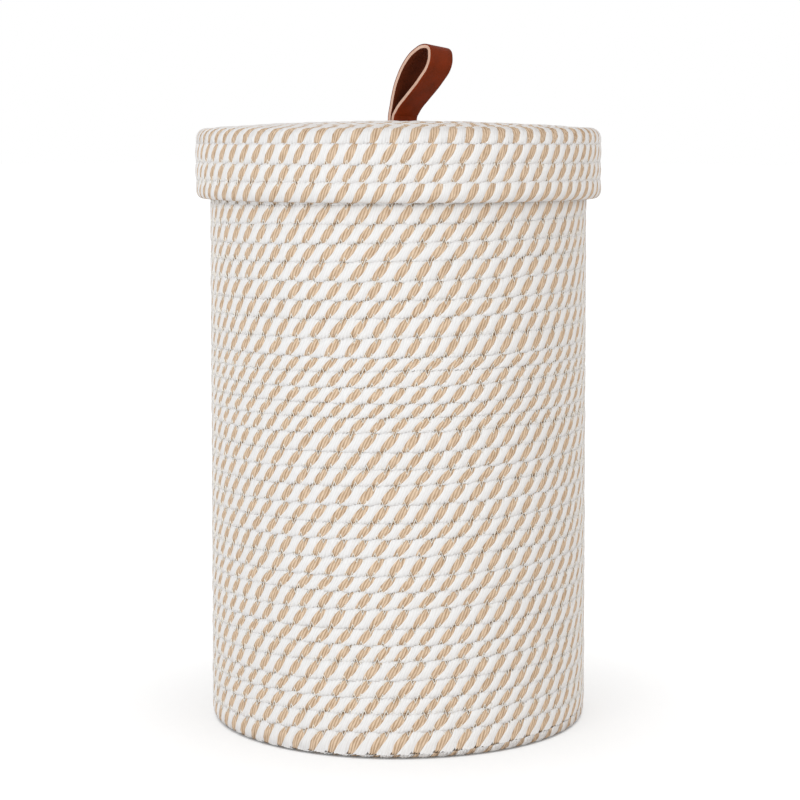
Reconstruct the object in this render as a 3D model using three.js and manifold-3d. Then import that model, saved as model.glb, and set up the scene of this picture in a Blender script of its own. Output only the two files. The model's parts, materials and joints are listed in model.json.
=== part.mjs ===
// Lidded basket of coiled, stitched rope, with a leather loop on the lid.
//
// Millimetres, +Z up. The origin is on the floor, on the basket's axis. +X is the side that the
// leather loop leans to, and Y runs across the strap.
//
// The basket and the lid are each wound from one rope. A flat spiral makes the disc, and the same
// rope then climbs course on course round its edge. Each wound piece here is a closed solid whose
// outside carries that rope as one unbroken rib, with a groove where a course lies on the next.

import * as THREE from 'three';
import { mergeVertices } from 'three/addons/utils/BufferGeometryUtils.js';
import Module from 'manifold-3d';

const wasm = await Module();
wasm.setup();

// Rope

const ropeThickness = 7;
const grooveDepth = 2.2;
const discCourseWidth = 9.1;
const wallCourseHeight = 9;
const lidCourseHeight = 9.35;

// Basket

const basketHeight = 311.9;
const footRadius = 102.4;
const wallTaper = 1.5;
const baseThickness = 7.2;

// Lid

const lidSideCourses = 4;
const lidCrown = 3.6;
const lidClearance = 0.9;
const lidClimbArc = THREE.MathUtils.degToRad(75);

// Leather strap and its stitching

const strapWidth = 18;
const strapThickness = 2.4;
const strapAside = 3.2;
const strapRootLength = 5;
const loopReach = 27.8;
const loopRise = 36.2;
const tailLength = 24;
const stitchWidth = 12;
const stitchThickness = 0.8;
const stitchInset = 5;

// Clearance between pieces that touch on the real basket

const contactGap = 0.3;

// Facets and the shape of a course, as shares of its own height

const stepsPerTurn = 24;
const ribShoulders = [0.27, 0.73];
const boreRings = 8;
const strapSteps = 44;

// The angle where the courses are counted from: the front of the basket.
const frontAngle = THREE.MathUtils.degToRad(-45);

// Sizes that follow

const rimRadius = footRadius - wallTaper;
const lidUnderside = basketHeight + contactGap;
const lidTop = lidUnderside + ropeThickness;
const lidInnerRadius = rimRadius + lidClearance;
const lidRadius = lidInnerRadius + ropeThickness;
const lidCrownRadius = rimRadius - ropeThickness;
const lidCentre = lidTop + lidCrown;
const wallFoot = baseThickness + contactGap;
const wallHeight = basketHeight - wallFoot;
const pivotHeight = lidCentre + strapThickness + contactGap;

const ropeMaterial = new THREE.MeshStandardMaterial({ color: '#d8cab2', roughness: 0.9, metalness: 0 });
const leatherMaterial = new THREE.MeshStandardMaterial({ color: '#6b3220', roughness: 0.55, metalness: 0 });
const threadMaterial = new THREE.MeshStandardMaterial({ color: '#e6dcc8', roughness: 0.8, metalness: 0 });

const basket = new THREE.Group();

function addPiece(parent, name, geometry, material) {
  const mesh = new THREE.Mesh(geometry, material);
  mesh.name = name;
  parent.add(mesh);
}

// Wound pieces

// Turns a section that changes with the angle into one closed solid. sectionAt takes a share of a
// turn from 0 to 1 and gives the [radius, height] points of the section there.
function solidFromSections(sectionAt) {
  const positions = [];
  for (let step = 0; step <= stepsPerTurn; step++) {
    const turn = step / stepsPerTurn;
    const angle = frontAngle + 2 * Math.PI * turn;
    for (const [radius, height] of sectionAt(turn)) {
      positions.push(radius * Math.cos(angle), radius * Math.sin(angle), height);
    }
  }

  const first = sectionAt(0);
  const rows = first.length;
  const outline = first.map(([radius, height]) => new THREE.Vector2(radius, height));
  const anticlockwise = THREE.ShapeUtils.area(outline) > 0;
  const triangles = [];
  for (let step = 0; step < stepsPerTurn; step++) {
    for (let row = 0; row < rows; row++) {
      const near = step * rows + row;
      const nearNext = step * rows + ((row + 1) % rows);
      const far = near + rows;
      const farNext = nearNext + rows;
      if (anticlockwise) {
        triangles.push([near, far, farNext], [near, farNext, nearNext]);
      } else {
        triangles.push([near, farNext, far], [near, nearNext, farNext]);
      }
    }
  }
  return weld(positions, triangles);
}

// Joins points that coincide, and drops the triangles that this leaves with no area.
function weld(positions, triangles) {
  const soup = new THREE.BufferGeometry();
  soup.setAttribute('position', new THREE.Float32BufferAttribute(positions, 3));
  soup.setIndex(triangles.flat());
  const welded = mergeVertices(soup, 1e-3);
  const index = welded.index.array;
  const kept = [];
  for (let i = 0; i < index.length; i += 3) {
    const [a, b, c] = index.slice(i, i + 3);
    if (a !== b && b !== c && c !== a) {
      kept.push(a, b, c);
    }
  }
  welded.setIndex(kept);
  welded.computeVertexNormals();
  return welded;
}

// One unbroken rib of rope over a piece, with level edges. lineAt takes a course number, fractions
// too, and how far the surface stands out of the groove there, and gives a [radius, height] point.
// climb says which share of a course has been climbed at a share of a turn, and closing holds the
// plain points that close the section.
function woundSolid({ courses, climb, lineAt, closing }) {
  return solidFromSections((turn) => {
    const section = [];
    for (let course = 0; course <= courses; course++) {
      const from = Math.max(0, course - 1 + climb(turn));
      const to = Math.min(courses, course + climb(turn));
      section.push(lineAt(from, 0));
      for (const share of ribShoulders) {
        section.push(lineAt(THREE.MathUtils.lerp(from, to, share), grooveDepth * (to - from)));
      }
    }
    section.push(lineAt(courses, 0));
    return [...section, ...closing];
  });
}

const climbAllRound = (turn) => turn;

// The lid's courses lie level at the front and step up at the back.
function climbAtBack(turn) {
  const arc = lidClimbArc / (2 * Math.PI);
  return THREE.MathUtils.clamp((turn - 0.5) / arc + 0.5, 0, 1);
}

// Basket: the base disc, whose edge is the lowest course, and the wall that stands on it

const wallRadius = (height) => THREE.MathUtils.mapLinear(height, 0, basketHeight, footRadius, rimRadius);

function baseGeometry() {
  const grooveRadius = footRadius - grooveDepth;
  const profile = [
    [0, 0],
    [grooveRadius, 0],
    [footRadius, baseThickness * ribShoulders[0]],
    [footRadius, baseThickness * ribShoulders[1]],
    [grooveRadius, baseThickness],
    [0, baseThickness],
  ];
  return solidFromSections(() => profile);
}

function wallGeometry() {
  const courses = Math.round(wallHeight / wallCourseHeight);
  const heightOf = (course) => wallFoot + (course * wallHeight) / courses;
  const bore = [];
  for (let ring = boreRings - 1; ring >= 0; ring--) {
    const height = wallFoot + (ring * wallHeight) / (boreRings - 1);
    bore.push([wallRadius(height) - ropeThickness, height]);
  }
  return woundSolid({
    courses,
    climb: climbAllRound,
    lineAt: (course, bulge) => [wallRadius(heightOf(course)) - grooveDepth + bulge, heightOf(course)],
    closing: bore,
  });
}

// Lid: the crowned disc, whose edge is the top side course, and the courses that hang from it

const crownAt = (radius) => lidCrown * Math.max(0, 1 - (radius / lidCrownRadius) ** 2);

function lidTopGeometry() {
  const courses = Math.round(lidInnerRadius / discCourseWidth);
  const edgeFoot = lidTop - lidCourseHeight;
  const shoulderDrop = grooveDepth / 4;
  const wound = woundSolid({
    courses,
    climb: climbAllRound,
    lineAt: (course, bulge) => {
      const radius = (course * lidInnerRadius) / courses;
      return [radius, lidTop + crownAt(radius) - grooveDepth + bulge];
    },
    closing: [
      [lidInnerRadius + ropeThickness * ribShoulders[0], lidTop],
      [lidInnerRadius + ropeThickness * ribShoulders[1], lidTop - shoulderDrop],
      [lidRadius, lidTop - lidCourseHeight * ribShoulders[0]],
      [lidRadius, lidTop - lidCourseHeight * ribShoulders[1]],
      [lidRadius - grooveDepth, edgeFoot],
      [lidInnerRadius, edgeFoot],
      [lidInnerRadius, lidUnderside],
      ...[lidCrownRadius, tailLength, 0].map((radius) => [radius, lidUnderside + crownAt(radius)]),
    ],
  });

  const slotDepth = 2 * (lidCentre - lidUnderside);
  const slotThickness = 2 * strapThickness + 3 * contactGap;
  const slot = new THREE.BoxGeometry(slotThickness, strapWidth + 2 * contactGap, slotDepth);
  slot.translate(0, strapAside, lidTop);
  return cut(wound, slot);
}

function lidRimGeometry() {
  const courses = lidSideCourses - 1;
  const foot = lidTop - lidSideCourses * lidCourseHeight;
  const head = lidTop - lidCourseHeight - contactGap;
  return woundSolid({
    courses,
    climb: climbAtBack,
    lineAt: (course, bulge) => {
      return [lidRadius - grooveDepth + bulge, THREE.MathUtils.lerp(foot, head, course / courses)];
    },
    closing: [
      [lidInnerRadius, head],
      [lidInnerRadius, foot],
    ],
  });
}

function toManifold(geometry) {
  const bare = geometry.clone();
  bare.deleteAttribute('normal');
  bare.deleteAttribute('uv');
  const merged = mergeVertices(bare);
  const vertProperties = new Float32Array(merged.attributes.position.array);
  const triVerts = new Uint32Array(merged.index.array);
  return new wasm.Manifold(new wasm.Mesh({ numProp: 3, vertProperties, triVerts }));
}

function cut(geometry, tool) {
  const { vertProperties, triVerts } = toManifold(geometry).subtract(toManifold(tool)).getMesh();
  const result = new THREE.BufferGeometry();
  result.setAttribute('position', new THREE.BufferAttribute(new Float32Array(vertProperties), 3));
  result.setIndex(new THREE.BufferAttribute(new Uint32Array(triVerts), 1));
  result.computeVertexNormals();
  return result;
}

// Leather strap: a loop above the lid, and two tails that pass down a slot and turn outward

// The middle line of the loop's leather, in the plane that it is bent in, as shares of how far the
// loop reaches out and rises from its pivot. It goes up on the side away from the lean, turns over
// at the top and comes back to the root, where the two limbs lie on each other.
const loopShares = [
  [0, 0.145],
  [0.055, 0.32],
  [0.15, 0.515],
  [0.375, 0.785],
  [0.62, 0.94],
  [0.865, 1],
  [0.975, 0.97],
  [1, 0.9],
  [0.96, 0.74],
  [0.75, 0.535],
  [0.385, 0.27],
  [0.2, 0.14],
];
const limbOffset = strapThickness / 2;
const loopLine = new THREE.SplineCurve([
  new THREE.Vector2(-limbOffset, 0),
  ...loopShares.map(([out, up]) => new THREE.Vector2(out * loopReach, up * loopRise)),
  new THREE.Vector2(limbOffset, 0),
]);

// Carries a shape drawn in x and z across the strap's width. The strap sits a little aside of the
// middle of the lid.
function acrossStrap(shape) {
  const geometry = new THREE.ExtrudeGeometry(shape, { depth: strapWidth, bevelEnabled: false });
  geometry.translate(0, 0, -strapWidth / 2);
  geometry.rotateX(Math.PI / 2);
  geometry.translate(0, strapAside, 0);
  return geometry;
}

function offsetLine(share, offset) {
  const point = loopLine.getPointAt(share);
  const along = loopLine.getTangentAt(share);
  return new THREE.Vector2(point.x - along.y * offset, point.y + along.x * offset);
}

function loopGeometry() {
  const rootShare = strapRootLength / loopLine.getLength();
  const outside = [];
  const inside = [];
  for (let step = 1; step < strapSteps; step++) {
    const share = step / strapSteps;
    outside.push(offsetLine(share, limbOffset));
    inside.unshift(offsetLine(THREE.MathUtils.lerp(rootShare, 1 - rootShare, share), -limbOffset));
  }
  const shape = new THREE.Shape();
  shape.absarc(0, 0, strapThickness, 0, Math.PI, true);
  for (const point of outside) {
    shape.lineTo(point.x, point.y);
  }
  shape.holes.push(new THREE.Path(inside));
  return acrossStrap(shape);
}

const tailTop = lidUnderside + crownAt(tailLength) - contactGap;
const tailFoot = tailTop - strapThickness;

function tailGeometry(side) {
  const inner = side * (contactGap / 2);
  const outer = inner + side * strapThickness;
  const end = inner + side * tailLength;
  const shape = new THREE.Shape([
    new THREE.Vector2(inner, lidCentre),
    new THREE.Vector2(outer, lidCentre),
    new THREE.Vector2(outer, tailTop),
    new THREE.Vector2(end, tailTop),
    new THREE.Vector2(end, tailFoot),
    new THREE.Vector2(inner, tailFoot),
  ]);
  return acrossStrap(shape);
}

function stitchGeometry(side) {
  const stitch = new THREE.BoxGeometry(2 * stitchThickness, stitchWidth, stitchThickness);
  const drop = contactGap + stitchThickness / 2;
  stitch.translate(side * (tailLength - stitchInset), strapAside, tailFoot - drop);
  return stitch;
}

addPiece(basket, 'basket_base', baseGeometry(), ropeMaterial);
addPiece(basket, 'basket_wall', wallGeometry(), ropeMaterial);
addPiece(basket, 'lid_top', lidTopGeometry(), ropeMaterial);
addPiece(basket, 'lid_rim', lidRimGeometry(), ropeMaterial);

for (const [place, side] of [['left', -1], ['right', 1]]) {
  addPiece(basket, `handle_tail_${place}`, tailGeometry(side), leatherMaterial);
  addPiece(basket, `handle_stitch_${place}`, stitchGeometry(side), threadMaterial);
}

const handle = new THREE.Group();
handle.position.z = pivotHeight;
addPiece(handle, 'handle_loop', loopGeometry(), leatherMaterial);
basket.add(handle);

export default basket;
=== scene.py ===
# %% [markdown]
# # A lidded basket of coiled rope, with a leather loop
#
# The real basket is sewn from one rope of four strands, two off-white and two tan. The rope is
# wound as a flat spiral for the base, turned up at the edge and wound on as the wall, and every
# course is sewn to the last with a zigzag stitch. The lid is made the same way, and a folded
# leather strap through its middle lifts it.
#
# Everything here is built around a fixed frame of plain solids at their real size. The solids give
# the sizes, and the pieces made here take their place.

# %% Start from the frame
import json
import math

import bmesh
import bpy
import numpy as np
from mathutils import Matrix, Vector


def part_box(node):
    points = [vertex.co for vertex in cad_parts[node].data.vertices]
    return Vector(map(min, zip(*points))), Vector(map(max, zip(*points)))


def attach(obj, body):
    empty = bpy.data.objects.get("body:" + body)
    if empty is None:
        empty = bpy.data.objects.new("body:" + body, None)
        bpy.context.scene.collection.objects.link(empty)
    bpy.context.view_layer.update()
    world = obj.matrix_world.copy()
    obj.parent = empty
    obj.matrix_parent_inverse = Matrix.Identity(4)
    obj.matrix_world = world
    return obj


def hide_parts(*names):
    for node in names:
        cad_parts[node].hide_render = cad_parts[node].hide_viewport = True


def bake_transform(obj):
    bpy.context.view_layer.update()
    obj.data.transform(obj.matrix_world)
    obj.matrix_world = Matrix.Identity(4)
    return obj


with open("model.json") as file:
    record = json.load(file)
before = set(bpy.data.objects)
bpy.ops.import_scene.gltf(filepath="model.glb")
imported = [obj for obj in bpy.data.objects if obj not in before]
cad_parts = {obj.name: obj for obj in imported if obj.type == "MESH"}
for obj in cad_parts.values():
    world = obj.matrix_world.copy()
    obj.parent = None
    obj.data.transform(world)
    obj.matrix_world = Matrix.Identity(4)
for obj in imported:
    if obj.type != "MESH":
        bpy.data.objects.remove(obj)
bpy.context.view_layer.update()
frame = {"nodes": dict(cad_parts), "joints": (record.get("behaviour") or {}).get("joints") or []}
MM = 0.001


def box_mm(node):
    """The lowest and the highest corner of a solid of the frame, in millimetres."""
    low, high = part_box(node)
    return np.array(low) / MM, np.array(high) / MM


print("solids in the frame:", sorted(frame["nodes"]))

# %% [markdown]
# ## Camera
#
# The photograph looks at the basket from a little above its middle, through a long lens. Its lens
# and place were worked out from the ellipses of the floor line and of the lid's edge, and they come
# first here because every later choice of detail depends on how large a millimetre shows.

# %% Camera
LENS = 97.8
CAMERA_DISTANCE = 1175.7
CAMERA_HEIGHT = 313.8
CAMERA_ASIDE = 0.9
CAMERA_TURN = math.radians(43)
CAMERA_TILT = math.radians(6.88)

back = np.array([math.sin(CAMERA_TURN), -math.cos(CAMERA_TURN), 0])
aside = np.array([math.cos(CAMERA_TURN), math.sin(CAMERA_TURN), 0])
camera_place = back * CAMERA_DISTANCE + aside * CAMERA_ASIDE + [0, 0, CAMERA_HEIGHT]
bpy.ops.object.camera_add(
    location=camera_place * MM, rotation=(math.pi / 2 - CAMERA_TILT, 0, CAMERA_TURN)
)
camera = bpy.context.object
camera.data.lens = LENS
bpy.context.scene.camera = camera
print("camera at", [round(float(v), 3) for v in camera.location])

# %% [markdown]
# ## Helpers for materials
#
# Blender's sockets take linear light, and colours are easier to read as sRGB hex values, so one
# function turns one into the other. Another adds a node, fills in its sockets and settings, and
# links it, so that each material below reads as a short list.


# %% Colours and nodes
def linear(hex_colour):
    """An sRGB hex colour as linear red, green, blue and alpha."""
    channels = [int(hex_colour[i : i + 2], 16) / 255 for i in (1, 3, 5)]
    curve = [c / 12.92 if c <= 0.04045 else ((c + 0.055) / 1.055) ** 2.4 for c in channels]
    return [*curve, 1.0]


def add_node(tree, kind, settings=(), links=()):
    """Adds a node. settings and links are pairs of a socket's or a setting's name and its value."""
    made = tree.nodes.new(kind)
    for name, value in settings:
        if isinstance(name, int) or name in made.inputs:
            made.inputs[name].default_value = value
        else:
            setattr(made, name, value)
    for name, output in links:
        tree.links.new(output, made.inputs[name])
    return made


def new_material(name):
    """An empty material with an output, its tree and that output."""
    made = bpy.data.materials.new(name)
    made.use_nodes = True
    made.node_tree.nodes.clear()
    return made, made.node_tree, add_node(made.node_tree, "ShaderNodeOutputMaterial")


# %% [markdown]
# ## The rope's strands
#
# The rope is cotton, and each strand is a bundle of yarns. The off-white strands are bleached and
# smooth, and the tan ones are undyed and coarser, so their yarns show as fine slanting lines. The
# grooves between the yarns get a darker colour, which is painted shade, on top of the yarns'
# relief.
# Both are matt, with a little fuzz that lightens them at the edges, which sheen gives. The lines
# follow the strand, so they read the rope's own map: along the rope in lays, and round it.

# %% Cotton strands
PATTERN_LAY = 20.1  # mm of pattern to a lay: a lay is 20.9 mm on the wall and 18.0 on the lid
ROPE_GIRTH = 26.0  # mm round the rope, as pressed
YARN_SLANT = math.radians(42)
YARN_WIDTH = 2.1  # 1.2 mm on the strand: a yarn is about 0.7 mm, and is drawn coarser to show
WAVE_UNIT = 20 / (2 * math.pi)  # bands in a unit length of Blender's wave texture at scale 1
BLOTCHES_PER_MM = 0.35


def cotton_strand(name, colour, painted_shade_between_yarns, fuzz, yarn_relief, yarn_share):
    made, tree, output = new_material(name)
    rope_map = add_node(tree, "ShaderNodeUVMap", [("uv_map", "strand")])
    in_mm = add_node(
        tree,
        "ShaderNodeMapping",
        [("Scale", (PATTERN_LAY, ROPE_GIRTH, 1)), ("Rotation", (0, 0, YARN_SLANT))],
        [("Vector", rope_map.outputs["UV"])],
    )
    yarns = add_node(
        tree,
        "ShaderNodeTexWave",
        [
            ("bands_direction", "Y"),
            ("Scale", 1 / (YARN_WIDTH * WAVE_UNIT)),
            ("Distortion", 2.2),
            ("Detail", 2.0),
            ("Detail Scale", 1.4),
        ],
        [("Vector", in_mm.outputs["Vector"])],
    )
    blotches = add_node(
        tree,
        "ShaderNodeTexNoise",
        [("Scale", BLOTCHES_PER_MM), ("Detail", 3.0)],
        [("Vector", in_mm.outputs["Vector"])],
    )
    uneven = add_node(
        tree,
        "ShaderNodeMapRange",
        [("From Min", 0.3), ("From Max", 0.7), ("To Min", -0.25), ("To Max", 0.25)],
        [("Value", blotches.outputs["Fac"])],
    )
    lit_yarns = add_node(
        tree,
        "ShaderNodeMath",
        [("operation", "MULTIPLY_ADD"), (1, yarn_share), (2, 1 - yarn_share)],
        [(0, yarns.outputs["Fac"])],
    )
    shade = add_node(
        tree,
        "ShaderNodeMath",
        [("operation", "ADD"), ("use_clamp", True)],
        [(0, lit_yarns.outputs[0]), (1, uneven.outputs[0])],
    )
    # The yarns mix in the darker colour, painted shade in the grooves between them, and the
    # blotches vary the tone at random.
    tone = add_node(
        tree,
        "ShaderNodeMix",
        [("data_type", "RGBA"), (6, linear(painted_shade_between_yarns)), (7, linear(colour))],
        [(0, shade.outputs[0])],
    )
    relief = add_node(
        tree,
        "ShaderNodeBump",
        [("Strength", 1.0), ("Distance", yarn_relief * MM)],
        [("Height", yarns.outputs["Fac"])],
    )
    surface = add_node(
        tree,
        "ShaderNodeBsdfPrincipled",
        [
            ("Roughness", 0.88),
            ("Specular IOR Level", 0.15),
            ("Sheen Weight", 0.22),
            ("Sheen Roughness", 0.6),
            ("Sheen Tint", linear(fuzz)),
        ],
        [("Base Color", tone.outputs[2]), ("Normal", relief.outputs["Normal"])],
    )
    tree.links.new(surface.outputs[0], output.inputs["Surface"])
    return made


# The numbers are the relief of the yarns in mm, and how much of the tone they make.
# The second colour is the painted shade in the grooves between the yarns.
bleached_cotton = cotton_strand(
    "bleached_cotton_strand", "#ecedee", "#dcdad8", "#ffe0c8", 0.06, 0.4
)
natural_cotton = cotton_strand(
    "natural_cotton_strand", "#e3ccb2", "#a08060", "#ecc4a0", 0.18, 0.68
)
print("strands:", bleached_cotton.name, natural_cotton.name)

# %% [markdown]
# ## Thread
#
# The courses are joined with an off-white polyester thread, twisted from a few plies and slightly
# glossy. A fine noise breaks its colour up, as the plies do.

# %% Sewing thread
PLY_LENGTH = 0.6  # mm


def sewing_thread(name, colour, shaded):
    made, tree, output = new_material(name)
    place = add_node(tree, "ShaderNodeTexCoord")
    plies = add_node(
        tree,
        "ShaderNodeTexNoise",
        [("Scale", 1 / (PLY_LENGTH * MM)), ("Detail", 2.0)],
        [("Vector", place.outputs["Object"])],
    )
    tone = add_node(
        tree,
        "ShaderNodeMix",
        [("data_type", "RGBA"), (6, linear(shaded)), (7, linear(colour))],
        [(0, plies.outputs["Fac"])],
    )
    surface = add_node(
        tree,
        "ShaderNodeBsdfPrincipled",
        [("Roughness", 0.6), ("Specular IOR Level", 0.4)],
        [("Base Color", tone.outputs[2])],
    )
    tree.links.new(surface.outputs[0], output.inputs["Surface"])
    return made


pale_thread = sewing_thread("off_white_polyester_thread", "#fbf8f1", "#efe9dd")
print("thread:", pale_thread.name)

# %% [markdown]
# ## Leather
#
# The strap is vegetable-tanned leather. Its grain side is dyed reddish brown and has a low gloss,
# its flesh side is rougher and a little darker, partly from the dye and partly as painted shade for
# the inside of the loop, and its cut edges are left raw, so they show the pale fibres. Grain is
# a field of small cells, which a Voronoi pattern gives, on object coordinates because leather has
# no direction that would need a map.

# %% Leather
CLOUD_WIDTH = 9  # mm: dye takes unevenly, in clouds of about this width


def leather(name, colour, worn, grain_width, grain_relief, roughness, specular):
    made, tree, output = new_material(name)
    place = add_node(tree, "ShaderNodeTexCoord")
    grain = add_node(
        tree,
        "ShaderNodeTexVoronoi",
        [("feature", "SMOOTH_F1"), ("Scale", 1 / (grain_width * MM)), ("Smoothness", 0.6)],
        [("Vector", place.outputs["Object"])],
    )
    clouds = add_node(
        tree,
        "ShaderNodeTexNoise",
        [("Scale", 1 / (CLOUD_WIDTH * MM)), ("Detail", 5.0), ("Roughness", 0.6)],
        [("Vector", place.outputs["Object"])],
    )
    spread = add_node(
        tree,
        "ShaderNodeMapRange",
        [("From Min", 0.35), ("From Max", 0.68)],
        [("Value", clouds.outputs["Fac"])],
    )
    tone = add_node(
        tree,
        "ShaderNodeMix",
        [("data_type", "RGBA"), (6, linear(colour)), (7, linear(worn))],
        [(0, spread.outputs[0])],
    )
    gloss = add_node(
        tree,
        "ShaderNodeMapRange",
        [("To Min", roughness - 0.06), ("To Max", roughness + 0.1)],
        [("Value", clouds.outputs["Fac"])],
    )
    relief = add_node(
        tree,
        "ShaderNodeBump",
        [("Strength", 1.0), ("Distance", grain_relief * MM), ("invert", True)],
        [("Height", grain.outputs["Distance"])],
    )
    surface = add_node(
        tree,
        "ShaderNodeBsdfPrincipled",
        [("Specular IOR Level", specular)],
        [
            ("Base Color", tone.outputs[2]),
            ("Roughness", gloss.outputs[0]),
            ("Normal", relief.outputs["Normal"]),
        ],
    )
    tree.links.new(surface.outputs[0], output.inputs["Surface"])
    return made


# The numbers are the width and relief of the grain in mm, the roughness and the specular level.
grain_side = leather("dyed_leather_grain_side", "#6b280b", "#7d2e0f", 0.7, 0.05, 0.5, 0.07)
# The flesh side is a little darker than the grain side: partly dye, and partly painted shade for
# the inside of the loop.
flesh_side_dye_and_shade = leather("dyed_leather_flesh_side", "#632a14", "#73341a", 0.5, 0.12, 0.85, 0.1)
raw_edge = leather("raw_leather_edge", "#dab9a6", "#cca793", 0.35, 0.1, 0.85, 0.2)
print("leather:", grain_side.name, flesh_side_dye_and_shade.name, raw_edge.name)

# %% [markdown]
# ## One lay of straight rope
#
# Four strands twisted round each other make a section of four lobes, which turns once in a length
# called the lay: 21 mm on the wall, and 18 mm on the lid. The section starts as a circle whose
# vertices at the joints between strands are drawn in. The Screw modifier then raises and turns it,
# once, which is just what the rope-maker's machine does. The result is a unit piece: one lay is one
# unit long, and the section has a radius of one, so that both can be stretched to fit later.
#
# The two off-white strands are plump and take seven sides each. The tan ones take five, and lie a
# little lower.

# %% Straight rope, one lay long
ROPE_SIDES = 24
RINGS_PER_LAY = 13
STRAND_JOINTS = (0, 7, 12, 19, 24)
WHITE_RELIEF = (0.86, 0.965, 1.0, 1.01)  # shares of the radius, from a joint towards the middle
TAN_RELIEF = (0.86, 0.93, 0.96)


def select_only(*pieces):
    """Selects these pieces and nothing else, and makes the first of them the active one."""
    bpy.ops.object.select_all(action="DESELECT")
    for piece in pieces:
        piece.select_set(True)
    if pieces:
        bpy.context.view_layer.objects.active = pieces[0]


def add_modifier(piece, kind, **settings):
    """Adds a modifier to the active piece, and applies it."""
    made = piece.modifiers.new(kind.lower(), kind)
    for name, value in settings.items():
        setattr(made, name, value)
    bpy.ops.object.modifier_apply(modifier=made.name)


def pick(piece, kind, wanted):
    """In edit mode, selects only the "verts", "edges" or "faces" of a piece that are wanted."""
    bpy.ops.mesh.select_all(action="DESELECT")
    shape = bmesh.from_edit_mesh(piece.data)
    for part in getattr(shape, kind):
        if wanted(part):
            part.select_set(True)
    bmesh.update_edit_mesh(piece.data)


def relief(index):
    """The share of the radius at a vertex of the section."""
    strand = max(k for k, joint in enumerate(STRAND_JOINTS) if joint <= index)
    steps = min(abs(index - joint) for joint in STRAND_JOINTS)
    return (TAN_RELIEF if strand % 2 else WHITE_RELIEF)[steps]


select_only()
bpy.ops.mesh.primitive_circle_add(vertices=ROPE_SIDES, radius=1, fill_type="NOTHING")
one_lay = bpy.context.object
one_lay.name = "one_lay"
bpy.ops.object.mode_set(mode="EDIT")
for share in {*WHITE_RELIEF, *TAN_RELIEF}:
    pick(one_lay, "verts", lambda vertex: relief(vertex.index) == share)
    bpy.ops.transform.resize(value=(share, share, 1), center_override=(0, 0, 0))
bpy.ops.object.mode_set(mode="OBJECT")
add_modifier(
    one_lay,
    "SCREW",
    axis="Z",
    angle=-2 * math.pi,
    screw_offset=1,
    steps=RINGS_PER_LAY,
    render_steps=RINGS_PER_LAY,
)
print("one lay of rope:", len(one_lay.data.polygons), "faces")

# %% [markdown]
# The strands' creases stay sharp, and everything else is smooth. The faces then get a strand each,
# and a map that counts lays along the rope and shares of the girth round it, following the strands.
# The Screw modifier lays its vertices ring by ring, so the number of a vertex says where it is.


# %% Creases, strands and map
def same_crease(edge):
    sides = {vertex.index % ROPE_SIDES for vertex in edge.verts}
    return len(sides) == 1 and sides.pop() in STRAND_JOINTS


bpy.ops.object.shade_smooth()
bpy.ops.object.mode_set(mode="EDIT")
pick(one_lay, "edges", same_crease)
bpy.ops.mesh.mark_sharp()
bpy.ops.object.mode_set(mode="OBJECT")

mesh = one_lay.data
corners = np.empty(len(mesh.loops), int)
mesh.loops.foreach_get("vertex_index", corners)
corners = corners.reshape(-1, 4)
around = corners % ROPE_SIDES
along = corners // ROPE_SIDES
closes = (around.max(1) == ROPE_SIDES - 1) & (around.min(1) == 0)
around[closes] = np.where(around[closes] == 0, ROPE_SIDES, around[closes])
strand = np.searchsorted(STRAND_JOINTS, around.min(1), side="right") - 1

for material in (bleached_cotton, natural_cotton):
    mesh.materials.append(material)
mesh.polygons.foreach_set("material_index", strand % 2)
while mesh.uv_layers:
    mesh.uv_layers.remove(mesh.uv_layers[0])
strand_map = mesh.uv_layers.new(name="strand")
lays_and_girth = np.stack([along / RINGS_PER_LAY, around / ROPE_SIDES], axis=2)
strand_map.data.foreach_set("uv", lays_and_girth.ravel())
print("faces of each strand:", np.bincount(strand))

# %% [markdown]
# ## Where the rope goes
#
# Cut the basket in half and the middle of its wall is one line: out along the base, round a tight
# bend, and up. The lid has such a line too. A place on a wound piece is then three numbers: how far
# along that line, how far out from it, and the angle round the axis. In those numbers the basket is
# a long, straight strip, in which winding is easy.
#
# At the bend the rope isn't squeezed flat, and fills the corner. The fullness of the bend says how
# nearly square the outside is there: 2 is round, and more is squarer. A seam that falls on the bend
# is stretched and filled a little, so the line also says how far a place is past its bend.

# %% The line that the wall follows
foot_radius = box_mm("basket_base")[1][0]
basket_height = box_mm("basket_wall")[1][2]
lid_radius = box_mm("lid_rim")[1][0]
lid_foot = box_mm("lid_rim")[0][2]
lid_centre = box_mm("lid_top")[1][2]

HALF_ROPE = 3.5  # these are all in millimetres
WALL_TAPER = 1.5
LID_CROWN = 3.6
BEND = 4.0  # radius of the bend in the middle of the wall
PAST_BEND = 1.2  # so far past the bend, the rope is as on the straight
LINE_STEP = 1.0
BEND_POINTS = 19
SEAM_FILL = 0.15  # how much of the dip at a seam is filled on the bend
FRONT = math.radians(-47)  # the side that faces the camera, as an angle round the axis


def straight(start, end):
    """Points from start to end, about a millimetre apart."""
    count = max(2, round(math.dist(start, end) / LINE_STEP))
    return np.linspace(start, end, count)


def bend(centre, start, end):
    """A quarter turn of the line round a centre."""
    angles = np.radians(np.linspace(start, end, BEND_POINTS))
    return np.array(centre) + BEND * np.column_stack([np.cos(angles), np.sin(angles)])


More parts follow.
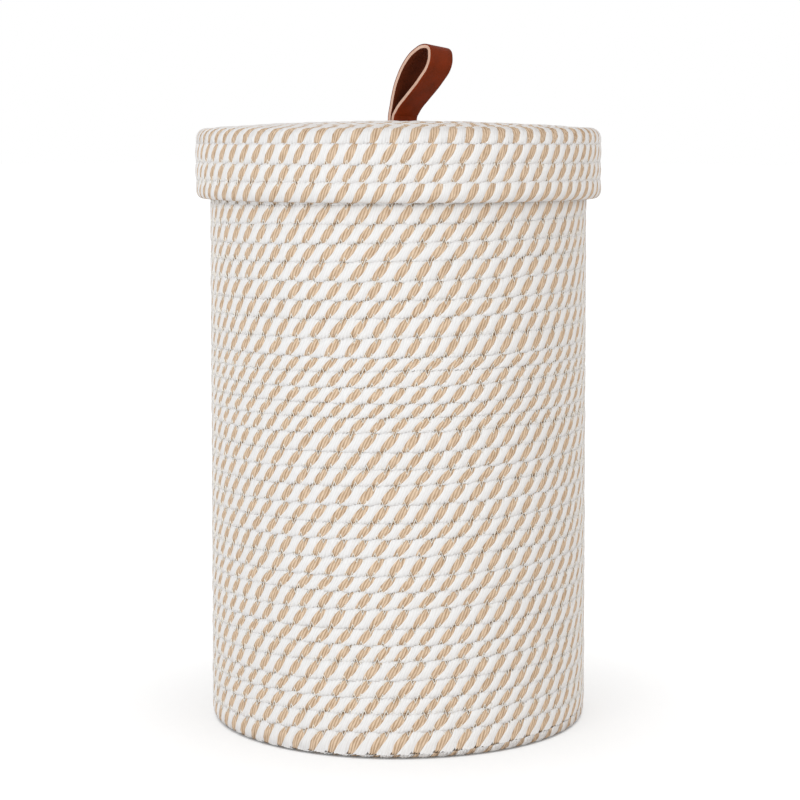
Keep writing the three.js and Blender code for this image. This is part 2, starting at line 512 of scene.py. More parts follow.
class Line:
    """A line in radius and height, with the direction that faces out of the basket."""

    def __init__(self, stretches, facing, bend_start, fullness):
        self.points = np.concatenate(stretches)
        gaps = np.hypot(*np.diff(self.points, axis=0).T)
        self.points = self.points[np.concatenate([[True], gaps > 1e-6])]
        gaps = np.hypot(*np.diff(self.points, axis=0).T)
        self.distance = np.concatenate([[0], np.cumsum(gaps)])
        way = np.gradient(self.points, self.distance, axis=0)
        way /= np.hypot(*way.T)[:, None]
        self.out = facing * np.column_stack([way[:, 1], -way[:, 0]])
        self.length = self.distance[-1]
        self.bend_start, self.fullness = bend_start, fullness
        self.bend_middle = bend_start + BEND * math.pi / 4

    def straightness(self, distance):
        """0 on the bend, and 1 from a little past it."""
        past = np.abs(distance - self.bend_middle) - BEND * math.pi / 4
        return np.clip(past / PAST_BEND, 0, 1)

    def at(self, distance, out):
        """Radius and height of places that far along the line and that far out from it."""
        turned = np.clip((distance - self.bend_start) / BEND, 0, math.pi / 2)
        corner = np.cos(turned) ** self.fullness + np.sin(turned) ** self.fullness
        swollen = out + SEAM_FILL * np.sin(2 * turned) * np.maximum(0, HALF_ROPE - out)
        filled = (BEND + swollen) * corner ** (-1 / self.fullness) - BEND
        out = np.where(out > 0, filled, out)
        point = [np.interp(distance, self.distance, self.points[:, i]) for i in (0, 1)]
        facing = [np.interp(distance, self.distance, self.out[:, i]) for i in (0, 1)]
        return point[0] + facing[0] * out, point[1] + facing[1] * out


flat_end = foot_radius - HALF_ROPE - BEND
basket_line = Line(
    [
        straight((0, HALF_ROPE), (flat_end, HALF_ROPE)),
        bend((flat_end, HALF_ROPE + BEND), -90, 0),
        straight(
            (foot_radius - HALF_ROPE, HALF_ROPE + BEND),
            (foot_radius - WALL_TAPER - HALF_ROPE, basket_height),
        ),
    ],
    facing=1,
    bend_start=flat_end,
    fullness=4.5,
)

lid_edge = lid_centre - LID_CROWN - HALF_ROPE
lid_flat_end = lid_radius - HALF_ROPE - BEND
crown_radii = np.arange(0, lid_flat_end, LINE_STEP)
crown = LID_CROWN * np.maximum(0, 1 - (crown_radii / lid_flat_end) ** 2)
lid_line = Line(
    [
        np.column_stack([crown_radii, lid_edge + crown]),
        bend((lid_flat_end, lid_edge - BEND), 90, 0),
        straight((lid_radius - HALF_ROPE, lid_edge - BEND), (lid_radius - HALF_ROPE, lid_foot)),
    ],
    facing=-1,
    bend_start=lid_flat_end,
    fullness=2.3,
)
print(f"line of the basket {basket_line.length:.1f} mm, of the lid {lid_line.length:.1f} mm")

# %% [markdown]
# ## Courses
#
# Each turn of rope is a course, and where two courses meet there is a seam. The courses of a
# hand-guided machine aren't even: here they are about 9 mm high, with a few squeezed ones just
# above the middle. On the basket the rope climbs steadily. On the lid, and at the basket's hidden
# rim, it lies level and climbs within a short stretch at the back, so that the edge is level.
#
# Only the seams are worked out. A course then fills the room between two seams, so neighbours
# always touch, however uneven the winding is.

# %% Seams of the basket and the lid, at the front
BASE_COURSES = 11
CORNER_COURSE = 8.8
WALL_COURSES = ((17, 8.99), (5, 7.7), (8, 9.44), (3, 10.27))  # from the bottom: how many, how high
LID_SIDE_COURSES = (9.4, 9.45, 9.45, 10.05)  # from the top's edge down
LID_DISC_COURSES = 11


def seams_outward(first, first_count, heights):
    """Distances of the seams along a line: even ones up to first, then one for each height."""
    even = np.linspace(0, first, first_count + 1)
    return np.concatenate([even, first + np.cumsum(heights)])


wall_heights = [height for count, height in WALL_COURSES for _ in range(count)]
base_reach = basket_line.length - sum(wall_heights) - CORNER_COURSE
basket_seams = seams_outward(base_reach, BASE_COURSES, [CORNER_COURSE, *wall_heights])
lid_seams = seams_outward(
    lid_line.length - sum(LID_SIDE_COURSES), LID_DISC_COURSES, LID_SIDE_COURSES
)
print(len(basket_seams) - 1, "courses in the basket,", len(lid_seams) - 1, "in the lid")

# %% [markdown]
# A winding holds the seam at every angle, the middle and the height of the course below it, and how
# many lays of rope have gone by. Waves of unrelated lengths make the seams, the thickness and the
# twist wander a little, as they do under a hand.

# %% Winding
STEPS_PER_TURN = 144
START_TURN = 0.5  # the rope starts at the back
CLIMB_SHARE = 0.21  # of a turn, at the back, where a level course steps up
LEAST_HEIGHT = 1.6  # mm: the rope ends where it would be squeezed lower than this
WAVES_PER_TURN = (0.31, 0.83, 1.37, 2.29, 3.71, 5.93)
SEAM_WANDER = 0.28  # mm
THICKNESS_WANDER = 0.12  # mm
TWIST_WANDER = 0.08  # lays


def wander(turns, size, seed):
    """A smooth, uneven wave of about that size."""
    draw = np.random.default_rng(seed)
    total = np.zeros_like(turns)
    for often in WAVES_PER_TURN:
        total += draw.normal(0, size / 2) * np.sin(2 * math.pi * (often * turns + draw.random()))
    return total


def eased(share):
    share = np.clip(share, 0, 1)
    return share * share * (3 - 2 * share)


def level_turns(turns):
    """Turns counted so that a course is level but for a climb at the back."""
    whole = np.floor(turns)
    return whole + eased((turns - whole - 0.5) / CLIMB_SHARE + 0.5)


class Winding:
    """One rope wound along a line. up is 1 where the line runs up the wall, and -1 where down."""

    def __init__(self, line, seams, up, level_from, lays_per_turn, round_from, seed):
        self.line, self.seams, self.up, self.level_from = line, seams, up, level_from
        self.seed = seed
        self.turns = np.arange(START_TURN, len(seams) + 0.5, 1 / STEPS_PER_TURN)
        top = self.seam(self.turns)
        first = np.maximum(0, top - seams[1])
        bottom = np.where(self.turns < START_TURN + 1, first, self.seam(self.turns - 1))
        kept = (top - bottom > LEAST_HEIGHT) | (self.turns < 2)
        self.turns, top, bottom = self.turns[kept], top[kept], bottom[kept]
        self.middle = (top + bottom) / 2
        self.half_height = (top - bottom) / 2
        radius = line.at(self.middle, 0)[0]
        per_turn = lays_per_turn * np.minimum(1, radius / round_from)
        steps = np.diff(self.turns, prepend=self.turns[0])
        self.lays = np.cumsum(per_turn * steps) + wander(self.turns, TWIST_WANDER, seed + 1)
        self.length = np.cumsum(2 * math.pi * radius * steps)
        self.thickness = wander(self.turns, THICKNESS_WANDER, seed + 2)

    def seam(self, turns):
        """Distance along the line of the seam above the rope, after so many turns."""
        last = len(self.seams) - 1
        level = eased((turns - self.level_from) / 2)
        counted = turns + (level_turns(turns) - turns) * level
        # The seams wander only between the start, where the slot is, and the edge, which is true.
        free = np.clip((turns - 1.5) / 2, 0, 1) * np.clip((last - 0.6 - turns) / 1.4, 0, 1)
        even = np.interp(counted, np.arange(last + 1), self.seams)
        return even + free * wander(turns, SEAM_WANDER, self.seed)

    def place(self, distance, out, turns):
        """Points in metres: so far along the line, so far out, after so many turns."""
        radius, height = self.line.at(distance, out)
        angle = FRONT + 2 * math.pi * turns
        flat = radius[:, None] * np.column_stack([np.cos(angle), np.sin(angle)])
        flat = flat + self.make_room(angle, radius)
        return MM * np.column_stack([flat, np.maximum(height, 0)])

    def make_room(self, angle, radius):
        """How far a place moves sideways for what passes through the middle."""
        return 0


BASKET_LAYS_PER_TURN = 29 + 2 / 3  # the part of a lay left over sets how far the stripes step
LID_LAYS_PER_TURN = 36 + 2 / 3
basket_level_from = len(basket_seams) - 4  # turns
lid_level_from = LID_DISC_COURSES - 2
basket_winding = Winding(
    basket_line, basket_seams, 1, basket_level_from, BASKET_LAYS_PER_TURN, flat_end, seed=3
)
lid_winding = Winding(
    lid_line, lid_seams, -1, lid_level_from, LID_LAYS_PER_TURN, lid_flat_end, seed=40
)
for name, winding in (("basket", basket_winding), ("lid", lid_winding)):
    print(f"{name}: {winding.length[-1] * MM:.2f} m of rope, {winding.lays[-1]:.0f} lays")

# %% [markdown]
# The lid's rope doesn't start at a point. It goes round the strap, which passes through a slot a
# little aside of the middle, so each turn is pushed outward by the slot's half width at that angle,
# and aside with it, less and less towards the edge, where the courses are round.

# %% Room for the strap
loop_low, loop_high = box_mm("handle_loop")
strap_width = loop_high[1] - loop_low[1]
strap_aside = (loop_high[1] + loop_low[1]) / 2
STRAP_THICKNESS = 2.4
SLOT_ROOM = (0.5, 0.6)  # mm to spare, beside the strap's two layers and at its edges
slot_half = np.array([STRAP_THICKNESS, strap_width / 2]) + SLOT_ROOM


def strap_slot(angle, radius):
    way = np.column_stack([np.cos(angle), np.sin(angle)])
    reach = 1 / np.hypot(*(way / slot_half).T)
    share = np.maximum(0, 1 - radius / lid_flat_end)
    return share[:, None] * (reach[:, None] * way + [0, strap_aside])


lid_winding.make_room = strap_slot
print("the slot is", round(float(2 * slot_half[1]), 1), "mm long")

# %% [markdown]
# ## Winding the rope
#
# The unit lay is repeated with the Array modifier until the rope is long enough, and its two ends
# are closed. Then every point moves from the straight rope to its place in the winding. Blender's
# Curve modifier could carry it round, but it can't squeeze the section to the room between two
# seams, so a few lines of code do it. Sewn courses press each other flat where they touch, and
# bulge between. So the section has a crowned face outside and inside, each a third of the way
# round, and two flat sides that lie on its neighbours. A strand crosses a face in a straight slant.
#
# The plump off-white strands crowd the tan ones towards the seams, which makes the tan ones
# leaf-shaped. The off-white ones also stay nearly as high at a seam as between seams and press into
# the next course, so they seem to run on into it, while the ends of the tan ones dip and leave a
# row of small pits. On a bend the seams are stretched, so there all the strands end alike, side by
# side. The lid's courses are plumper than the basket's, and the last course of each has a free
# side, which stays round.
#
# One mesh for a whole basket would be hard to handle, so the rope is cut into lengths.

# %% The section as sewn
FACE = math.radians(60)  # half of what a face takes of the way round
basket_winding.at_seam = {"joint": 0.84, "white": 0.95, "tan": 0.5}  # in half ropes
lid_winding.at_seam = {"joint": 0.7, "white": 0.8, "tan": 0.5}
OVER_SEAM = {"joint": 1.05, "white": 1.12, "tan": 1.0}  # in half courses
ON_BEND = 0.88  # in half ropes, for all strands
CROWDING = 0.56  # how much narrower a tan strand is at a seam than in the middle of a course
EVEN_AT = 0.38  # where it has its own width: the square of a share of half a course

# The section of the rope as a row of places: a joint, the middle of an off-white strand, a joint,
# the middle of a tan one, and so on.
strand_middles = [(a + b) / 2 for a, b in zip(STRAND_JOINTS, STRAND_JOINTS[1:])]
strand_places = sorted([*STRAND_JOINTS, *strand_middles])


def by_strand(vertex, joint, white, tan):
    """A measure at each place of the section, from its values at the joints and the middles."""
    row = [joint, white, joint, tan, joint, white, joint, tan, joint]
    return np.interp(vertex, strand_places, row)


def pressed(angle, vertex, at_seam, straight, free):
    """Where a place of the round section goes in the pressed one, as shares up and outward."""
    at_seam = ON_BEND + straight * (by_strand(vertex, **at_seam) - ON_BEND)
    over_seam = 1 + straight * (by_strand(vertex, **OVER_SEAM) - 1)
    from_face = np.minimum(np.abs(angle), math.pi - np.abs(angle))
    on_face = np.sqrt(1 - (1 - at_seam**2) * np.minimum(1, from_face / FACE) ** 2)
    into_seam = np.maximum(0, from_face - FACE) / (math.pi / 2 - FACE)
    turned_in = straight * into_seam**3
    outward = np.where(np.abs(angle) < math.pi / 2, 1, -1) * on_face * (1 - turned_in)
    up = np.sign(angle) * np.minimum(1, from_face / FACE) * over_seam
    return up + free * (np.sin(angle) - up), outward + free * (np.cos(angle) - outward)


def crowded(vertex, up):
    """How far a place moves along the rope, in lays, as the tan strands swell and narrow."""
    most = CROWDING * (STRAND_JOINTS[2] - STRAND_JOINTS[1]) / 2 / ROPE_SIDES
    narrowing = np.interp(vertex, strand_places, [-most, 0, most, 0, -most, 0, most, 0, -most])
    return narrowing * (up**2 - EVEN_AT)


print("places round the section:", [float(place) for place in strand_places])

# %% Lengths of rope
SEAM_ANGLE = math.radians(62)  # where the rope turns in more sharply, its shading breaks
SLANT_WANDER = 0.02  # lays
SLANT_PACE = 3.1  # how much quicker the slant wanders than the seams do
THINNER_BELOW = 3  # mm: under a half course of this height, the rope thins with it
LAYS_PER_PIECE = 275
OPEN_TURN = 1.03  # so long before its end, the rope comes to lie free on one side,
OPENING = 0.06  # within this share of a turn


def repeated(unit, name, count):
    """A straight run of a unit piece, joined end to end and closed."""
    select_only(unit)
    bpy.ops.object.duplicate()
    piece = bpy.context.object
    piece.name = piece.data.name = name
    add_modifier(
        piece,
        "ARRAY",
        count=count,
        use_relative_offset=False,
        use_constant_offset=True,
        constant_offset_displace=(0, 0, 1),
        use_merge_vertices=True,
        merge_threshold=1e-4,
        offset_u=1,
    )
    bpy.ops.object.mode_set(mode="EDIT")
    bpy.ops.mesh.select_all(action="SELECT")
    bpy.ops.mesh.fill_holes(sides=0)
    pick(piece, "faces", lambda face: len(face.verts) > 4)
    bpy.ops.mesh.mark_sharp()
    bpy.ops.object.mode_set(mode="OBJECT")
    return piece


def moved(piece, way):
    """Moves every point of a piece by a function from an array of points to another."""
    points = np.empty(len(piece.data.vertices) * 3)
    piece.data.vertices.foreach_get("co", points)
    piece.data.vertices.foreach_set("co", way(points.reshape(-1, 3)).ravel())
    piece.data.update()
    return piece


def wind_rope(winding, name, first_lay, last_lay):
    def after(lays, *measures):
        """The turns after so many lays, and what each measure of the winding is there."""
        turns = np.interp(lays, winding.lays, winding.turns)
        return turns, *(np.interp(turns, winding.turns, measure) for measure in measures)

    def way(points):
        # The circle starts at +Y and runs towards -X, and the screw turned it the other way.
        angle = np.arctan2(points[:, 0], points[:, 1])
        vertex = (points[:, 2] - angle / (2 * math.pi)) % 1 * ROPE_SIDES
        size = np.hypot(points[:, 0], points[:, 1])
        lays = points[:, 2] + first_lay
        turns, half_height, middle = after(lays, winding.half_height, winding.middle)
        free = np.clip((turns - winding.turns[-1] + OPEN_TURN) / OPENING, 0, 1)
        free = free * (winding.up * angle > 0)
        straight = winding.line.straightness(winding.up * np.sign(angle) * half_height + middle)
        up, outward = pressed(angle, vertex, winding.at_seam, straight, free)
        lays = lays + crowded(vertex, up)
        turns = after(lays)[0]
        lays = lays + up * wander(SLANT_PACE * turns, SLANT_WANDER, winding.seed + 4)
        turns, half_height, middle, swell = after(
            lays, winding.half_height, winding.middle, winding.thickness
        )
        half_rope = HALF_ROPE * np.minimum(1, half_height / THINNER_BELOW) ** 0.5
        along_line = middle + winding.up * half_height * up
        return winding.place(along_line, half_rope * outward * size + swell, turns)

    piece = moved(repeated(one_lay, name, last_lay - first_lay), way)
    bpy.ops.object.shade_smooth_by_angle(angle=SEAM_ANGLE)
    return piece


def wind_lengths(winding, name, first_lay, last_lay):
    count = math.ceil((last_lay - first_lay) / LAYS_PER_PIECE)
    cuts = np.linspace(first_lay, last_lay, count + 1).round().astype(int)
    made = []
    for number, (start, end) in enumerate(zip(cuts, cuts[1:]), 1):
        label = name if count == 1 else f"{name}_{number}"
        made.append(wind_rope(winding, label, int(start), int(end)))
    return made


def lay_at(winding, distance):
    """The whole lay at which the middle of the rope has come so far along the line."""
    reached = np.searchsorted(winding.middle, distance)
    return round(winding.lays[min(reached, len(winding.lays) - 1)])


CUT_BEFORE_BEND = 6  # mm
basket_end = math.floor(basket_winding.lays[-1])
basket_turns_up = lay_at(basket_winding, flat_end - CUT_BEFORE_BEND)
lid_end = math.floor(lid_winding.lays[-1])
lid_turns_down = lay_at(lid_winding, lid_flat_end - CUT_BEFORE_BEND)
base_rope = wind_lengths(basket_winding, "base_rope", 0, basket_turns_up)
wall_rope = wind_lengths(basket_winding, "wall_rope", basket_turns_up, basket_end)
lid_top_rope = wind_lengths(lid_winding, "lid_top_rope", 0, lid_turns_down)
lid_side_rope = wind_lengths(lid_winding, "lid_side_rope", lid_turns_down, lid_end)

# %% [markdown]
# ## Zigzag stitches
#
# A zigzag machine stitch crosses every seam, 3.6 mm to a cycle, and shows on both sides of the
# wall. It is pulled tight, so the off-white strands close over it, and it shows as a small pale V
# only where it spans the pit at the end of a tan one. One cycle is modelled as a thin bar, extruded
# up and down once with a dip half way, and it is repeated and wound along the seams just as the
# rope is along the courses.

# %% One cycle of the zigzag
THREAD = 0.7  # mm: it is about half a millimetre thick, and is drawn thicker to show
CYCLE = 3.6
REACH = 2.3  # to each side of the seam
DIP = 0.35
DEEPER_ON_BEND = 0.9  # mm, because the seams there are shallow
basket_winding.thread_depth = 2.72  # from the middle of the wall to the thread in a seam
lid_winding.thread_depth = 2.3

leg_slope = math.atan2(2 * REACH, CYCLE / 2)
select_only()
bpy.ops.mesh.primitive_circle_add(vertices=3, radius=THREAD / 2, fill_type="NOTHING")
one_cycle = bpy.context.object
one_cycle.name = "one_cycle"
bpy.ops.object.mode_set(mode="EDIT")
bpy.ops.mesh.select_all(action="SELECT")
bpy.ops.transform.resize(value=(1 / math.cos(leg_slope), 1, 1), center_override=(0, 0, 0))
bpy.ops.transform.translate(value=(-REACH, 0, 0))
for across, out in ((REACH, -DIP), (REACH, DIP), (-REACH, -DIP), (-REACH, DIP)):
    quarter = (across, out, 1 / 4)
    bpy.ops.mesh.extrude_region_move(TRANSFORM_OT_translate={"value": quarter})
bpy.ops.mesh.select_all(action="SELECT")
bpy.ops.mesh.normals_make_consistent(inside=False)
bpy.ops.object.mode_set(mode="OBJECT")
bpy.ops.object.shade_smooth()
one_cycle.data.materials.append(pale_thread)
print("one cycle of thread:", len(one_cycle.data.polygons), "faces")


# %% Stitches along the seams
def sew(winding, name, side, first_turn, last_turn):
    """Thread on one side of the wall: side is 1 outside and -1 inside."""
    start, end = np.interp([first_turn, last_turn], winding.turns, winding.length)
    count = int((end - start) / CYCLE)
    depth = side * (winding.thread_depth + DIP)

    def way(points):
        turns = np.interp(start + points[:, 2] * CYCLE, winding.length, winding.turns)
        swell = np.interp(turns, winding.turns, winding.thickness)
        middle = winding.seam(turns)
        deeper = side * DEEPER_ON_BEND * (1 - winding.line.straightness(middle))
        out = depth - deeper + swell + side * points[:, 1]
        return winding.place(middle + winding.up * points[:, 0], out, turns)

    piece = moved(repeated(one_cycle, name, count), way)
    if side < 0:
        piece.data.flip_normals()
    return piece


def sew_both_sides(winding, name, first_turn, last_turn):
    return [
        sew(winding, f"{name}_thread_outside", 1, first_turn, last_turn),
        sew(winding, f"{name}_thread_inside", -1, first_turn, last_turn),
    ]


FIRST_SEWN_TURN = 1.0
UNSEWN_END = 1.02  # the last turn of rope has nothing beyond it to be sewn to
basket_last_turn = basket_winding.turns[-1] - UNSEWN_END
lid_last_turn = lid_winding.turns[-1] - UNSEWN_END
turn_up = float(np.interp(basket_turns_up, basket_winding.lays, basket_winding.turns))
basket_threads = sew_both_sides(basket_winding, "base", FIRST_SEWN_TURN, turn_up)
basket_threads += sew_both_sides(basket_winding, "wall", turn_up, basket_last_turn)
lid_threads = sew_both_sides(lid_winding, "lid", FIRST_SEWN_TURN, lid_last_turn)
print({piece.name: len(piece.data.polygons) for piece in basket_threads + lid_threads})

# %% [markdown]
# ## Leather strap
#
# One strip of leather makes the handle. It is folded into a leaning loop, its two ends pass down
# through the slot, and each is turned outward and sewn under the lid. A strip is a line given a
# width, so it starts as a curve through a few points, which is extruded across, made a mesh and
# given its thickness with Solidify, which also gives each side its own finish: grain outside, flesh
# inside, and raw fibres at the cut edges. The edges of the grain are rounded and dyed, so they get
# a bevel in the finish of the grain, and the edges of the flesh a smaller one.

# %% Middle line of the strap
tail_low, tail_high = box_mm("handle_tail_right")
joints = {joint["name"]: joint for joint in frame["joints"]}
pivot = joints["handle_tilt"]["pos_m"][2] / MM
half_strap = STRAP_THICKNESS / 2
loop_reach = loop_high[0] - half_strap
loop_rise = loop_high[2] - pivot - half_strap
tail_reach = tail_high[0]
tail_line = tail_low[2] + half_strap
TAIL_BEND = 2.4
LIMB_GAP = 0.15  # half of what lies between the two layers in the slot
LEAN_AT_PIVOT = 0.6

# The loop, as shares of its reach and its rise, from the side away from the lean over the top.
LOOP_SHARES = (
    (0.0, 0.145),
    (0.055, 0.32),
    (0.15, 0.515),
    (0.375, 0.785),
    (0.62, 0.94),
    (0.865, 1.0),
    (0.975, 0.97),
    (1.0, 0.9),
    (0.96, 0.74),
    (0.75, 0.535),
    (0.385, 0.27),
    (0.2, 0.14),
    (0.105, 0.047),
)


def tail_points(side):
    """One tail, from its end under the lid round its bend and up to the pivot."""
    limb = half_strap + LIMB_GAP
    return [
        (side * tail_reach, tail_line),
        (side * tail_reach * 0.55, tail_line),
        (side * (limb + TAIL_BEND), tail_line),
        (side * (limb + 0.25 * TAIL_BEND), tail_line + 0.3 * TAIL_BEND),
        (side * limb, tail_line + TAIL_BEND),
        (side * limb, (tail_line + TAIL_BEND + pivot) / 2),
        (side * half_strap + (LEAN_AT_PIVOT if side > 0 else 0), pivot),
    ]


loop_points = [(x * loop_reach, pivot + z * loop_rise) for x, z in LOOP_SHARES]
strap_points = [*tail_points(-1), *loop_points, *reversed(tail_points(1))]
print("strap:", len(strap_points), "points, pivot at", round(float(pivot), 2), "mm")

# %% Strap
EDGES = ((0, 0.65, 0.85), (1, 0.2, 0.5))  # finish, width of its edge, and how square that is
TWIST_DROP = 1.7  # how much lower the far edge lies at the top of the loop
TWIST_PULL = 1.2  # and how much less it leans out there
EDGE_ANGLE = math.radians(50)

line = bpy.data.curves.new("handle_strap", "CURVE")
line.dimensions = "2D"
line.fill_mode = "NONE"
line.resolution_u = 6
line.extrude = strap_width / 2 * MM
spline = line.splines.new("BEZIER")
spline.bezier_points.add(len(strap_points) - 1)
for place, point in zip(spline.bezier_points, strap_points):
    place.co = (point[0] * MM, point[1] * MM, 0)
    place.handle_left_type = place.handle_right_type = "AUTO"
strap = bpy.data.objects.new("handle_strap", line)
bpy.context.collection.objects.link(strap)
select_only(strap)
strap.rotation_euler = (math.pi / 2, 0, 0)
strap.location = (0, strap_aside * MM, 0)
bpy.ops.object.convert(target="MESH")
bpy.ops.object.transform_apply(location=True, rotation=True, scale=True)

# Three cuts along the strap let it twist.
bpy.ops.object.mode_set(mode="EDIT")
for share in (-0.25, 0, 0.25):
    bpy.ops.mesh.select_all(action="SELECT")
    across = (strap_aside + share * strap_width) * MM
    bpy.ops.mesh.bisect(plane_co=(0, across, 0), plane_no=(0, 1, 0))
bpy.ops.object.mode_set(mode="OBJECT")


def twisted(points):
    """Drops the far edge of the loop and pulls it in, more towards its top."""
    points = points.copy()
    height = np.clip((points[:, 2] / MM - pivot) / loop_rise, 0, 1)
    across = (points[:, 1] / MM - strap_aside) / strap_width + 0.5
    points[:, 2] -= TWIST_DROP * MM * height**1.5 * across
    points[:, 0] -= TWIST_PULL * MM * height**3 * across
    return points


moved(strap, twisted)
for material in (grain_side, flesh_side_dye_and_shade, raw_edge):
    strap.data.materials.append(material)
add_modifier(
    strap,
    "SOLIDIFY",
    thickness=STRAP_THICKNESS * MM,
    offset=0,
    material_offset=1,
    material_offset_rim=2,
)

bpy.ops.object.mode_set(mode="EDIT")
for finish, width, squareness in EDGES:
    wanted = {finish, 2}
    pick(strap, "edges", lambda edge: {face.material_index for face in edge.link_faces} == wanted)
    bpy.ops.mesh.bevel(offset=width * MM, segments=3, profile=squareness, material=finish)
bpy.ops.object.mode_set(mode="OBJECT")
bpy.ops.object.shade_smooth_by_angle(angle=EDGE_ANGLE)
finishes = [face.material_index for face in strap.data.polygons]
print("strap: faces of grain, flesh and raw edge:", [finishes.count(k) for k in range(3)])

# %% [markdown]
# ## Stitches of the strap
#
# Under the lid, a row of three hand stitches holds each tail. A stitch is a short piece of waxed
# thread that comes out of one hole and goes into the next, so it is modelled as a bar whose ends
# are extruded up into the leather, and then rounded with a Subdivision Surface.

# %% Tail stitches
STITCHES = 3
STITCH_THREAD = 0.8
STITCH_SHARE = 0.78  # of the way from one stitch to the next
END_LENGTH = 0.35
END_WIDTH = 0.7  # as a share of the stitch's


def tail_stitch(x, y, height, length):
    """One stitch across the strap, which hangs under it at that place."""
    select_only()
    bpy.ops.mesh.primitive_cube_add(size=1, location=(x * MM, y * MM, height * MM))
    stitch = bpy.context.object
    stitch.scale = (STITCH_THREAD * MM, length * MM, STITCH_THREAD * MM)
    bpy.ops.object.transform_apply(location=True, rotation=False, scale=True)
    bpy.ops.object.mode_set(mode="EDIT")
    for end in (-1, 1):
        pick(stitch, "faces", lambda face: face.normal.y * end > 0.9)
        slant = (0, end * END_LENGTH * MM, STITCH_THREAD / 2 * MM)
        bpy.ops.mesh.extrude_region_move(TRANSFORM_OT_translate={"value": slant})
        bpy.ops.transform.resize(value=(END_WIDTH, 1, END_WIDTH))
    bpy.ops.object.mode_set(mode="OBJECT")
    add_modifier(stitch, "SUBSURF", levels=2, render_levels=2)
    bpy.ops.object.shade_smooth()
    return stitch


def tail_stitches(name, node):
    low, high = box_mm(node)
    pitch = (high[1] - low[1]) / STITCHES
    middle = (low + high) / 2
    made = []
    for number in range(STITCHES):
        y = low[1] + pitch * (number + 0.5)
        made.append(tail_stitch(middle[0], y, middle[2], pitch * STITCH_SHARE))
    select_only(*made)
    bpy.ops.object.join()
    row = bpy.context.object
    row.name = row.data.name = name
    row.data.materials.append(pale_thread)
    return row


stitches = {
    side: tail_stitches(f"tail_stitches_{side}", f"handle_stitch_{side}")
    for side in ("left", "right")
}
print("tail stitches:", [piece.name for piece in stitches.values()])

# %% [markdown]
# ## Each piece takes its place in the frame
#
# A piece rides on the body that it is part of. The strap rides on no body: its place is baked
# into its mesh. The two unit pieces have done their work and are deleted.

for unit in (one_lay, one_cycle):
    bpy.data.objects.remove(unit)

for piece in base_rope + wall_rope + basket_threads:
    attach(piece, "basket")
for piece in lid_top_rope + lid_side_rope + lid_threads:
    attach(piece, "lid")
for piece in base_rope:
    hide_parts("basket_base")
for piece in wall_rope:
    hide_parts("basket_wall")
for piece in lid_top_rope:
    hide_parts("lid_top")
for piece in lid_side_rope:
    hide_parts("lid_rim")

for side, piece in stitches.items():
    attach(piece, "lid")
    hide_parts(f"handle_stitch_{side}")

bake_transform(strap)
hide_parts("handle_loop", "handle_tail_left", "handle_tail_right")

# %% [markdown]
# ## Floor and light
#
# The photograph has a plain white ground with a faint shadow, and a thin dark line where the basket
# touches it. The floor glows white for the camera and is a plain pale floor for everything else, so
# it stays white and still takes the shadow and sends soft light up. It glows more further out, so
# that it meets the background without a line, and less within a few millimetres of the basket,
# where no light gets in. The light is a broad, even studio light, a little stronger from the left
# and a little warmer from the right.

# %% Floor
FLOOR_SIZE = 40
FLOOR_GLOW = 0.58
FAR_GLOW = 0.8
GLOW_RISES = (0.11, 0.26)  # metres from the basket's axis
GLOW_AT_CONTACT = 0.1
CONTACT_REACH = 3.0
FLOOR_TAKES = "#b4b4b4"  # how much light it shows to the camera beside its glow
FLOOR_COLOUR = "#e8e8e8"


def seen_directly(tree):
    """1 where a ray comes from the camera, from a mirror or through glass, and 0 elsewhere."""
    path = add_node(tree, "ShaderNodeLightPath")
    seen = path.outputs["Is Camera Ray"]
    for kind in ("Is Glossy Ray", "Is Transmission Ray"):
        either = add_node(
            tree,
            "ShaderNodeMath",
            [("operation", "ADD"), ("use_clamp", True)],
            [(0, seen), (1, path.outputs[kind])],
        )
        seen = either.outputs[0]
    return seen


select_only()
bpy.ops.mesh.primitive_plane_add(size=FLOOR_SIZE)
floor = bpy.context.object
floor.name = "floor"
studio_floor, tree, output = new_material("white_studio_floor")
plain = add_node(tree, "ShaderNodeBsdfDiffuse", [("Color", linear(FLOOR_COLOUR))])
shadowed = add_node(tree, "ShaderNodeBsdfDiffuse", [("Color", linear(FLOOR_TAKES))])
place = add_node(tree, "ShaderNodeTexCoord")
away = add_node(
    tree, "ShaderNodeVectorMath", [("operation", "LENGTH")], [(0, place.outputs["Object"])]
)
brighter = add_node(
    tree,
    "ShaderNodeMapRange",
    [
        ("From Min", GLOW_RISES[0]),
        ("From Max", GLOW_RISES[1]),
        ("To Min", FLOOR_GLOW),
        ("To Max", FAR_GLOW),
    ],
    [("Value", away.outputs["Value"])],
)
open_air = add_node(
    tree, "ShaderNodeAmbientOcclusion", [("samples", 8), ("Distance", CONTACT_REACH * MM)]
)
near_basket = add_node(
    tree,
    "ShaderNodeMapRange",
    [("From Min", 0.2), ("From Max", 0.6), ("To Min", GLOW_AT_CONTACT), ("To Max", 1.0)],
    [("Value", open_air.outputs["AO"])],
)
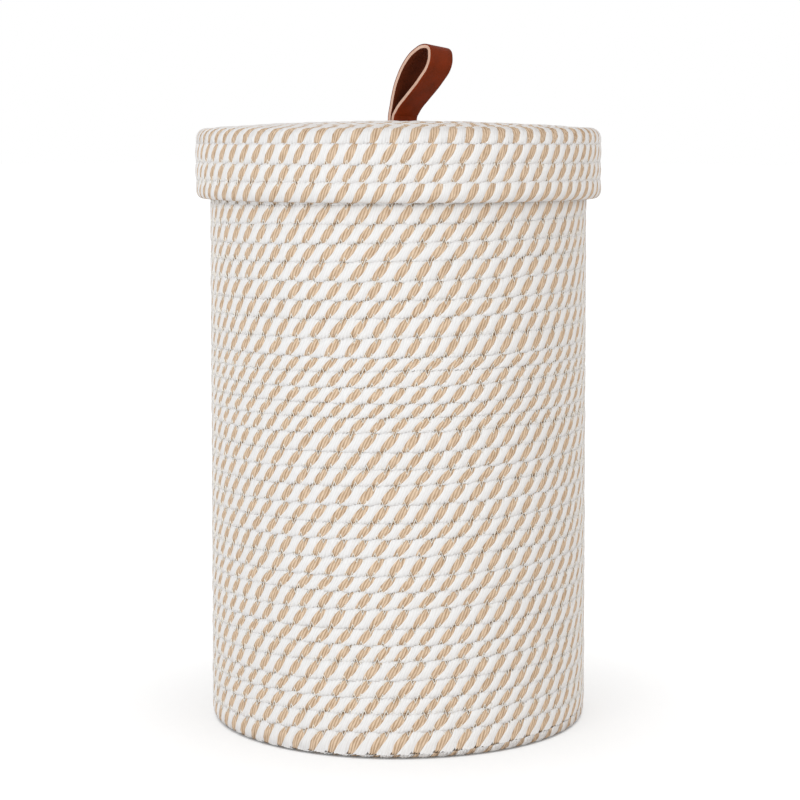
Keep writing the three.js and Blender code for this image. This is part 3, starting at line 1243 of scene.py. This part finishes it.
level = add_node(
    tree,
    "ShaderNodeMath",
    [("operation", "MULTIPLY")],
    [(0, brighter.outputs[0]), (1, near_basket.outputs[0])],
)
glow = add_node(tree, "ShaderNodeEmission", [], [("Strength", level.outputs[0])])
shown = add_node(
    tree, "ShaderNodeAddShader", [], [(0, shadowed.outputs[0]), (1, glow.outputs[0])]
)
either = add_node(
    tree,
    "ShaderNodeMixShader",
    [],
    [(0, seen_directly(tree)), (1, plain.outputs[0]), (2, shown.outputs[0])],
)
tree.links.new(either.outputs[0], output.inputs["Surface"])
floor.data.materials.append(studio_floor)

# %% Light
WORLD_LEVEL = 0.75
LAMPS = (
    # name, direction to the lamp as a turn from the camera and a height, size, power and colour
    ("key_lamp", -34, 12, 1.6, 19.5, "#ffffff"),
    ("fill_lamp", 44, 9, 1.8, 11, "#fff4e8"),
)
LAMP_DISTANCE = 2.4

world = bpy.data.worlds.new("studio")
bpy.context.scene.world = world
world.use_nodes = True
tree = world.node_tree
tree.nodes.clear()
strength = add_node(
    tree,
    "ShaderNodeMix",
    [("data_type", "FLOAT"), (2, WORLD_LEVEL), (3, 1.0)],
    [(0, seen_directly(tree))],
)
sky = add_node(
    tree, "ShaderNodeBackground", [("Color", (1, 1, 1, 1))], [("Strength", strength.outputs[0])]
)
add_node(tree, "ShaderNodeOutputWorld", [], [("Surface", sky.outputs[0])])

for name, turn, height, size, power, colour in LAMPS:
    facing = CAMERA_TURN - math.pi / 2 + math.radians(turn)
    rise = math.radians(height)
    place = LAMP_DISTANCE * np.array(
        [math.cos(rise) * math.cos(facing), math.cos(rise) * math.sin(facing), math.sin(rise)]
    )
    place[2] += basket_height / 2 * MM
    bpy.ops.object.light_add(
        type="AREA", location=place, rotation=(math.pi / 2 - rise, 0, facing + math.pi / 2)
    )
    lamp = bpy.context.object
    lamp.name = name
    lamp.data.shape = "DISK"
    lamp.data.size = size
    lamp.data.energy = power
    lamp.data.color = linear(colour)[:3]

bpy.context.scene.view_settings.view_transform = "Standard"
print("lamps:", [lamp[0] for lamp in LAMPS])
